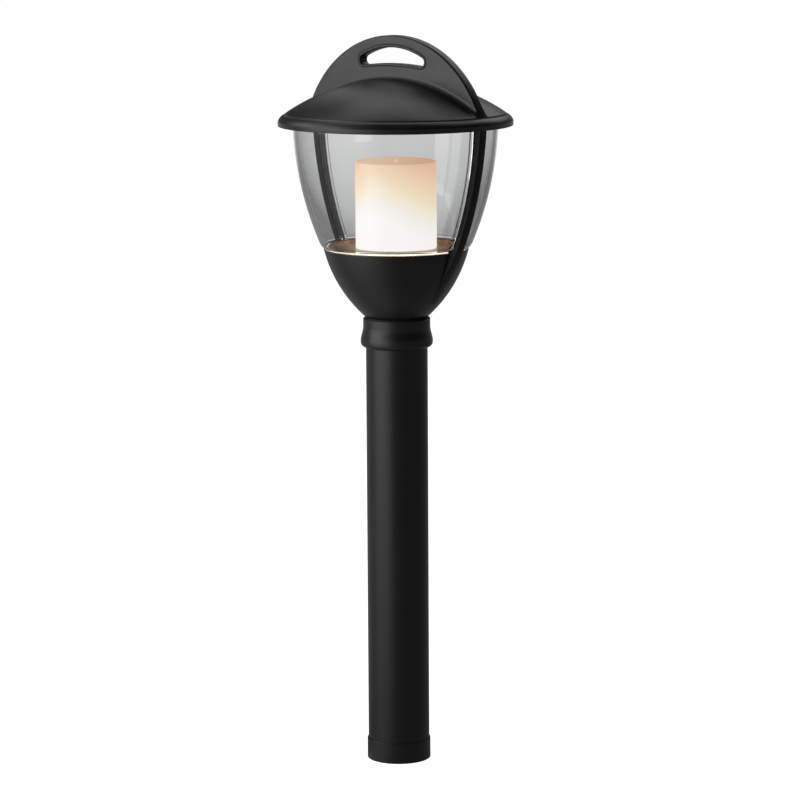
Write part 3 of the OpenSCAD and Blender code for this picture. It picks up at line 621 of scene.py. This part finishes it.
def make_arch():
    """The carrying arch, a lip round its hand slot, and fillets where its faces meet the dome."""
    arch_z = overall_h - ARCH_R
    sunk_r = DOME_R - 2.2 * MM
    foot = DOME_EDGE_R - 0.1 * MM
    foot_z = arch_z + math.sqrt(ARCH_R ** 2 - foot ** 2)
    outer_a = math.degrees(math.asin((foot_z - arch_z) / ARCH_R))
    sunk_a = math.degrees(math.asin((foot_z - 1.0 * MM - dome_centre[1]) / sunk_r))
    outline = arc((0, arch_z), ARCH_R, outer_a, 180 - outer_a, 150)
    outline += arc(dome_centre, sunk_r, 180 - sunk_a, sunk_a, 60)
    arch = plate("hat_arch", [outline, slot_outline(1.2 * MM)], ARCH_T, ARCH_EDGE_R)
    place(arch, "hat", "black_housing", HOUSING, "hat_handle")
    lip = plate("hand_slot_lip", [slot_outline(2.3 * MM), slot_outline(0)], ARCH_T + 0.4 * MM, 1.1 * MM)
    place(lip, "hat", "black_housing", HOUSING, "hat_handle")

    # concave fillets along both faces, turned about the line through the middle of the dome's sphere
    off = ARCH_T / 2 + FILLET_R
    rise = math.sqrt((DOME_R + FILLET_R) ** 2 - off ** 2)
    foot_a = math.degrees(math.atan2(off, rise))
    sunk = 0.5 * MM
    section = arc((rise, off), FILLET_R, -90, -180 + foot_a, 10)
    low_r, in_y = DOME_R - sunk, ARCH_T / 2 - sunk
    section += [(low_r, off - 2 * sunk), (low_r, in_y), (rise, in_y)]
    reach = math.asin((foot + 1.5 * MM) / DOME_R)
    limit = ARCH_R - 0.4 * MM
    steps = 160
    for side, sign in (("front", -1), ("rear", 1)):
        rows = []
        for i in range(steps + 1):
            angle = -reach + 2 * reach * i / steps
            row = []
            for radius, y in section:
                x, z = radius * math.sin(angle), dome_centre[1] + radius * math.cos(angle)
                far = math.hypot(x, z - arch_z)
                if far > limit:
                    x, z = x * limit / far, arch_z + (z - arch_z) * limit / far
                row.append((x, sign * y, z))
            rows.append(row)
        fillet = loft("arch_fillet_" + side, rows, 30)
        place(fillet, "hat", "black_housing", HOUSING, "hat_handle")


# ---------------------------------------------------------------- lantern frame
def make_bowl():
    """The bowl, with the groove that the panes stand in and the spigot that goes into the post."""
    foot_z = post_top_z + 0.7 * MM
    spigot_r, spigot_in = 20.9 * MM, 18 * MM
    groove_out, groove_in, groove_z = 50.1 * MM, 47.7 * MM, 375 * MM
    lip_in, lip_top, lip_foot = 45.6 * MM, bowl_rim_z + 0.3 * MM, 368.6 * MM
    in_r, in_top, in_foot = BOWL_R - BOWL_WALL, 367.2 * MM, 331 * MM
    outline = arc_between(BOWL_CENTRE, BOWL_R, foot_z, bowl_rim_z - 0.5 * MM, 48)
    rim_out = arc_radius_at(BOWL_CENTRE, BOWL_R, bowl_rim_z)
    outline += softened([
        (rim_out - 0.1 * MM, bowl_rim_z - 0.3 * MM, 0),
        (rim_out - 0.2 * MM, bowl_rim_z, 0.3 * MM),
        (groove_out, bowl_rim_z, 0.2 * MM),
        (groove_out, groove_z, 0.2 * MM),
        (groove_in, groove_z, 0.2 * MM),
        (groove_in, lip_top, 0.2 * MM),
        (lip_in, lip_top, 0.3 * MM),
        (lip_in, lip_foot, 1 * MM),
        (arc_radius_at(BOWL_CENTRE, in_r, in_top), in_top, 0),
    ])
    outline += reversed(arc_between(BOWL_CENTRE, in_r, in_foot, in_top - 0.7 * MM, 24))
    outline += [(spigot_in, in_foot - 0.6 * MM), (spigot_in, spigot_foot_z)]
    outline += [(spigot_r, spigot_foot_z), (spigot_r, foot_z)]
    bowl = lathe("lantern_bowl", outline, sharp=34)
    place(bowl, "root", "black_housing", HOUSING, "lantern_frame")


def rib_lines():
    """Outer and inner edge points of a rib, in (r, z), from the crown down to its end in the bowl."""
    proud, swell = 5.2 * MM, 1.5 * MM
    top = rim_z + 0.1 * MM
    turn_z, fade_z = 392 * MM, 342 * MM
    outer_r = PANE_R + proud
    turn = (arc_radius_at(PANE_CENTRE, outer_r, turn_z), turn_z)
    fade = (arc_radius_at(BOWL_CENTRE, BOWL_R, fade_z), fade_z)
    outer = []
    for r, z in arc_between(PANE_CENTRE, outer_r, top, turn_z, 36):
        outer.append((r + swell * max(0.0, (z - turn_z) / (top - turn_z)) ** 1.5, z))
    outer += cubic(
        turn,
        (turn[0] - 5.3 * MM, turn_z - 14 * MM),
        (fade[0] + 14.6 * MM, fade_z + 18 * MM),
        fade, 36)[1:]
    gap, curl_r, curl_slope = 0.3 * MM, 52.5 * MM, 0.94
    sunk_r, sunk_foot_z = BOWL_R - 1.4 * MM, 336 * MM
    inner = []
    for _, z in outer:
        if z > pane_curl_z + 0.4 * MM:
            inner.append((arc_radius_at(PANE_CENTRE, PANE_R + gap, z), z))
        elif z > bowl_rim_z + 0.6 * MM:
            inner.append((curl_r + (z - bowl_rim_z) * curl_slope, z))
        else:
            low = z - 1 * MM
            inner.append((arc_radius_at(BOWL_CENTRE, sunk_r, max(low, sunk_foot_z)), low))
    return outer, inner


def make_ribs():
    """The two ribs with rounded outer edges, and the web of each, which stands between the panes."""
    half, round_r, steps = 4 * MM, 1.5 * MM, 6
    web_half, web_steps = 1.1 * MM, 30
    web_foot_z, web_foot_r, web_slope = bowl_rim_z + 1.2 * MM, 53.4 * MM, 0.9
    outer, inner = rib_lines()
    for side, sign in (("right", 1), ("left", -1)):
        sections = []
        for (ro, zo), (ri, zi) in zip(outer, inner):
            depth = max(math.hypot(ro - ri, zo - zi), WELD)
            corner = min(round_r, depth * 0.8)
            section = arc((depth - corner, half - corner), corner, 90, 0, steps)
            section += [(d, -w) for d, w in reversed(section)]
            section = [(0, half)] + section + [(0, -half)]
            row = []
            for d, w in section:
                share = d / depth
                row.append((sign * (ri + (ro - ri) * share), w, zi + (zo - zi) * share))
            sections.append(row)
        rib = loft("lantern_rib_" + side, sections)
        place(rib, "root", "black_housing", RIB, "lantern_frame")
        rows = []
        for k in range(web_steps + 1):
            z = pane_top_z - (pane_top_z - web_foot_z) * k / web_steps
            low_r = arc_radius_at(PANE_CENTRE, PANE_R - PANE_WALL, z) - 0.02 * MM
            high_r = arc_radius_at(PANE_CENTRE, PANE_R + 0.8 * MM, z)
            high_r = min(high_r, web_foot_r + (z - web_foot_z) * web_slope)
            rows.append([
                (sign * low_r, web_half, z), (sign * high_r, web_half, z),
                (sign * high_r, -web_half, z), (sign * low_r, -web_half, z),
            ])
        web = loft("rib_web_" + side, rows)
        place(web, "root", "black_housing", RIB, "lantern_frame")


def make_crown():
    """The ring that joins the ribs round the tops of the panes."""
    in_r, out_r, low, high = 75 * MM, 79.2 * MM, 469.6 * MM, pane_top_z
    corners = ((in_r, low), (out_r, low), (out_r, high), (in_r, high))
    outline = softened([(r, z, 0.3 * MM) for r, z in corners], 3)
    crown = lathe("lantern_crown", outline)
    place(crown, "root", "black_housing", HOUSING, "lantern_frame")


# ---------------------------------------------------------------- panes
def pane_outline():
    """A pane's section: its wall, its foot curled under, and the tongue that stands in the bowl's groove."""
    foot_z, edge = pane_foot_z, 0.4 * MM
    curl_at, curl_r = 50.4 * MM, 5 * MM
    tongue_out, tongue_in, tongue_z = 49.9 * MM, 47.9 * MM, 376 * MM
    ledge_z, wall_foot_z = foot_z + 1.1 * MM, foot_z + 1.9 * MM
    in_r = PANE_R - PANE_WALL
    curl_start = -math.degrees(math.asin((foot_z + curl_r - pane_curl_z) / curl_r))
    outline = arc_between(PANE_CENTRE, PANE_R, pane_top_z - edge, pane_curl_z, 64)
    outline += arc((curl_at, foot_z + curl_r), curl_r, curl_start, -88, 14)
    outline += softened([
        (curl_at - 0.1 * MM, foot_z, 0),
        (tongue_out, foot_z, 0.2 * MM),
        (tongue_out, tongue_z, 0.3 * MM),
        (tongue_in, tongue_z, 0.3 * MM),
        (tongue_in, ledge_z, 0.2 * MM),
        (tongue_out - 0.1 * MM, ledge_z, 0.6 * MM),
        (arc_radius_at(PANE_CENTRE, in_r, wall_foot_z), wall_foot_z, 0),
    ])
    outline += arc_between(PANE_CENTRE, in_r, wall_foot_z + 0.3 * MM, pane_top_z - edge, 64)
    top_out = arc_radius_at(PANE_CENTRE, PANE_R, pane_top_z)
    outline += [(top_out - PANE_WALL + edge, pane_top_z), (top_out - edge, pane_top_z)]
    return outline


def make_panes():
    """Each pane ends on a plane just clear of the rib's web, with an inward flange along that end."""
    clear, flange_w, flange_t, flange_edge = 1.4 * MM, 2.8 * MM, 1.2 * MM, 0.15 * MM
    wide = clear + flange_w
    flange_foot_z, fade = pane_foot_z + 2.5 * MM, 1.2 * MM
    sides = 128
    outline = pane_outline()
    deep = []
    for r, z in outline:
        inner = r < arc_radius_at(PANE_CENTRE, PANE_R - PANE_WALL / 2, z) - 0.1 * MM
        share = min(1.0, max(0.0, (z - flange_foot_z) / fade)) if inner else 0.0
        deep.append((r - flange_t * share, z))
    for side, start in (("front", math.pi), ("rear", 0.0)):
        bm = bmesh.new()
        rings = []
        plan = [(deep, clear, 0.0), (deep, wide - flange_edge, 0.0), (outline, wide, 0.0)]
        plan += [(outline, wide, i / sides) for i in range(1, sides)]
        plan += [(line, gap, 1.0) for line, gap, _ in reversed(plan[:3])]
        for line, gap, share in plan:
            ring = []
            for r, z in line:
                edge = math.asin(gap / r)
                angle = start + edge + (math.pi - 2 * edge) * share
                ring.append(bm.verts.new((r * math.cos(angle), r * math.sin(angle), z)))
            rings.append(ring)
        count = len(outline)
        for here, there in zip(rings, rings[1:]):
            for k in range(count):
                after = (k + 1) % count
                bm.faces.new((here[k], there[k], there[after], here[after]))
        bm.faces.new(rings[0])
        bm.faces.new(list(reversed(rings[-1])))
        pane = finish_mesh("pane_" + side, bm, 30)
        place(pane, "root", "clear_pane", PANE, side + "_pane")


def make_pane_edges():
    """The frosted band under each pane's foot, with a painted glow for the lamp's light that the pane
    carries.
    """
    low, high = pane_foot_z - 0.16 * MM, pane_foot_z + 0.74 * MM
    in_r, out_low_r, out_high_r = 50.2 * MM, 51.6 * MM, 52.5 * MM
    rib_clear, band_r = 4.2 * MM, 52 * MM
    band = softened([
        (in_r, low, 0.1 * MM), (out_low_r, low, 0.2 * MM),
        (out_high_r, high, 0.3 * MM), (in_r, high, 0.1 * MM),
    ], 3)
    edge = math.asin(rib_clear / band_r)
    for side, start in (("front", math.pi), ("rear", 0.0)):
        piece = lathe("pane_band_" + side, band, 120, start + edge, math.pi - 2 * edge)
        place(piece, "root", "clear_pane", PANE_EDGE_GLOW, side + "_pane")


# ---------------------------------------------------------------- candle
def make_candle():
    """The hollow candle, open below, with a rounded rim, a dished top and the tip of a wick."""
    wall, rim_round = 2 * MM, 1.7 * MM
    top = candle_top_z
    dish_z = top - 1.0 * MM
    wick_r, wick_top = 0.8 * MM, candle_high.z
    outline = [(candle_r - 0.3 * MM, candle_base_z), (candle_r, candle_base_z + 0.4 * MM)]
    outline += arc((candle_r - rim_round, top - rim_round), rim_round, 0, 115, 12)
    outline += cubic(
        (candle_r - 2.6 * MM, top - 0.25 * MM),
        (candle_r - 4 * MM, dish_z),
        (candle_r - 8 * MM, dish_z),
        (wick_r + 2 * MM, dish_z), 16)
    outline += [(wick_r + 0.3 * MM, dish_z + 0.1 * MM), (wick_r, dish_z + 0.5 * MM)]
    outline += [(wick_r, wick_top - 0.6 * MM), (wick_r * 0.7, wick_top - 0.15 * MM), (0, wick_top)]
    outline += [(0, dish_z - wall), (candle_r - 6 * MM, dish_z - wall)]
    outline += [(candle_r - wall - 0.6 * MM, top - 5 * MM), (candle_r - wall, top - 7 * MM)]
    outline += [(candle_r - wall, candle_base_z)]
    candle = lathe("candle", outline, sides=160, sharp=50)
    place(candle, "diffuser", "candle_wax", WAX, "candle_diffuser")


# ---------------------------------------------------------------- studio
PHOTO_DISTANCE = 2.429
PHOTO_ROLL = 0.32
LENS = 149.2
SENSOR = 36
AIM_SHARE = 0.5025
AIM_ASIDE = 2.1 * MM


def make_camera():
    """The photograph's camera, aimed at the middle of the lantern's height."""
    data = bpy.data.cameras.new("camera")
    data.lens = LENS
    data.sensor_width = SENSOR
    data.clip_start = 0.05
    data.clip_end = 100
    camera = bpy.data.objects.new("camera", data)
    bpy.context.scene.collection.objects.link(camera)
    back = toward(0, PHOTO_PITCH)
    aim = Vector((0, 0, overall_h * AIM_SHARE)) + toward(90, 0) * AIM_ASIDE
    camera.location = aim + back * PHOTO_DISTANCE
    camera.rotation_mode = "QUATERNION"
    facing = (-back).to_track_quat("-Z", "Y")
    camera.rotation_quaternion = facing @ Quaternion((0, 0, 1), -math.radians(PHOTO_ROLL))
    bpy.context.scene.camera = camera


FLOOR_R = 60
GLOW_REACH = 8


def make_floor():
    """A plain pale floor past the edge of every view, white to the camera and darker to the object."""
    bm = bmesh.new()
    bmesh.ops.create_circle(bm, cap_ends=True, segments=96, radius=FLOOR_R)
    floor = finish_mesh("floor", bm)
    n = Nodes("pale_floor")
    seen = n.add("ShaderNodeLightPath").outputs["Is Camera Ray"]
    tone = n.ramp(n.noise(0.4, 2), *greys((0.3, 0.50), (0.7, 0.52)))
    n.set(Base_Color=tone, Roughness=0.9, Specular_IOR_Level=0.0)
    n.set(Emission_Color=(1, 1, 1, 1), Emission_Strength=1.0)
    away = n.span(n.vector("LENGTH", n.place), 0.0, 1.0, 0.0, GLOW_REACH)
    heading = n.vector("NORMALIZE", n.place)

    def lobe(azimuth, low, high, *stops):
        """The floor's light in one direction, faded in between two cosines, with its level by distance."""
        side = n.span(n.vector("DOT_PRODUCT", heading, toward(azimuth, 0)), 0.0, 1.0, low, high)
        return n.product(side, n.ramp(away, *greys(*stops)))

    glow = n.add("ShaderNodeEmission")
    left = lobe(-58, 0.76, 0.97, (0.0, 0.25), (0.05, 0.4), (0.09, 0.85), (0.25, 1.15), (0.8, 1.0), (1.0, 0.0))
    straight = lobe(180, 0.9, 0.97, (0.37, 0.05), (0.42, 0.28), (0.46, 0.4), (0.55, 0.54), (0.67, 0.62))
    behind = lobe(-160, 0.3, 0.9, (0.0, 0.0), (0.05, 0.20), (0.2, 0.22), (0.5, 0.16))
    around = n.ramp(away, *greys((0.0, 0.17), (0.2, 0.12), (0.3, 0.13), (0.5, 0.24)))
    n.link(n.sum(n.sum(left, straight), n.sum(behind, around)), glow.inputs["Color"])
    mix = n.add("ShaderNodeMixShader")
    n.link(seen, mix.inputs[0])
    n.link(glow.outputs[0], mix.inputs[1])
    n.link(n.shader.outputs[0], mix.inputs[2])
    n.link(mix.outputs[0], n.output.inputs["Surface"])
    floor.data.materials.append(n.material)


LIGHT_DISTANCE = 1.8
LIGHT_AIM_Z = 0.4


def soft_box(name, azimuth, elevation, width, height, radiance):
    """A soft box aimed at the lantern, which the camera doesn't see."""
    back = toward(azimuth, elevation)
    data = bpy.data.lights.new(name, "AREA")
    data.shape = "RECTANGLE"
    data.size, data.size_y = width, height
    data.energy = radiance * math.pi * width * height
    light = bpy.data.objects.new(name, data)
    light.location = Vector((0, 0, LIGHT_AIM_Z)) + back * LIGHT_DISTANCE
    light.rotation_mode = "QUATERNION"
    light.rotation_quaternion = (-back).to_track_quat("-Z", "Y")
    light.visible_camera = False
    bpy.context.scene.collection.objects.link(light)


SKY_LOW, SKY_HIGH = 0.26, 0.02
FADE_LOW, FADE_HIGH = 0.02, 0.22


def make_world():
    """White to the camera. To the object it is a dark studio with a paler band along the horizon."""
    world = bpy.data.worlds.new("studio")
    world.use_nodes = True
    tree = world.node_tree
    tree.nodes.clear()

    def add(kind):
        return tree.nodes.new(kind)

    height = add("ShaderNodeSeparateXYZ")
    tree.links.new(add("ShaderNodeTexCoord").outputs["Generated"], height.inputs[0])
    ramp = add("ShaderNodeMapRange")
    ramp.interpolation_type = "SMOOTHSTEP"
    levels = {"From Min": FADE_LOW, "From Max": FADE_HIGH, "To Min": SKY_LOW, "To Max": SKY_HIGH}
    for key, value in levels.items():
        ramp.inputs[key].default_value = value
    tree.links.new(height.outputs["Z"], ramp.inputs["Value"])
    studio, white = add("ShaderNodeBackground"), add("ShaderNodeBackground")
    tree.links.new(ramp.outputs["Result"], studio.inputs["Color"])
    white.inputs["Color"].default_value = (1, 1, 1, 1)
    mix = add("ShaderNodeMixShader")
    tree.links.new(add("ShaderNodeLightPath").outputs["Is Camera Ray"], mix.inputs[0])
    tree.links.new(studio.outputs[0], mix.inputs[1])
    tree.links.new(white.outputs[0], mix.inputs[2])
    tree.links.new(mix.outputs[0], add("ShaderNodeOutputWorld").inputs["Surface"])
    bpy.context.scene.world = world


def make_lights():
    """Soft boxes low and high on the left, high behind, and overhead; the near right stays dark."""
    for name, azimuth, elevation, width, height, radiance in (
        ("key_left", -84, 8, 0.65, 0.9, 2.4),
        ("key_front", -60, 8, 0.65, 0.9, 3.0),
        ("fill_front", -36, 6, 0.65, 1.0, 1.36),
        ("high_left", -72, 32, 0.9, 0.8, 2.4),
        ("high_rear_left", -108, 32, 0.9, 0.8, 2.1),
        ("high_rear_right", 146, 34, 0.9, 0.8, 1.3),
        ("rear", 180, 32, 0.9, 0.8, 0.75),
        ("top_rear", 180, 60, 0.9, 0.8, 1.33),
        ("top_left", -120, 60, 0.9, 0.8, 0.89),
        ("top_right", 120, 60, 0.9, 0.8, 1.0),
    ):
        soft_box(name, azimuth, elevation, width, height, radiance)


make_camera()
make_floor()
make_world()
make_lights()
bpy.context.scene.view_settings.view_transform = "Standard"

paint_cad_nodes()
make_hat()
make_arch()
make_bowl()
make_ribs()
make_crown()
make_panes()
make_pane_edges()
make_candle()
